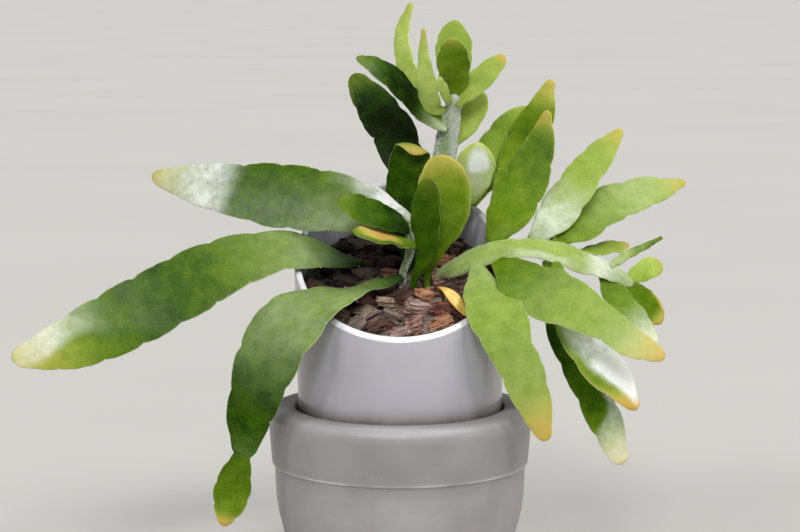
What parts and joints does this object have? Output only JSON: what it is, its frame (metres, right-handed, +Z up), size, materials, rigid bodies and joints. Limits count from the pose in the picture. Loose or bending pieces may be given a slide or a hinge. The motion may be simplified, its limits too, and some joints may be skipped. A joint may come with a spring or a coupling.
{
  "type": "potted kimnachia ramulosa",
  "caption": "Flat-stemmed epiphytic cactus with scalloped leaf-like pads, in bark mix in a white slant-mouthed pot nested in a wider cover pot.",
  "frame": {"origin": "centre of the cover pot's flat foot, on the surface it stands on", "axes": "+Z up, +X to the right and +Y to the back, seen from the side that the mouth of the inner pot slopes down to"},
  "size_m": [0.2985, 0.1168, 0.2628],
  "materials": {
    "cover_pot": "satin",
    "glazed_pot": "gloss",
    "bark": "matte",
    "pads": "satin",
    "yellow_pads": "satin"
  },
  "bodies": {
    "root": {"outer_pot": "cover_pot", "inner_pot": "glazed_pot", "bark_mix": "bark", "left_shoot": "pads", "far_left_pad": "pads", "front_pad_dark": "pads", "front_pad_bright": "pads", "curled_pad": "pads", "crown_shoot": "pads", "right_back_shoot": "pads", "arching_shoot": "pads", "yellow_pad": "yellow_pads"}
  },
  "joints": []
}
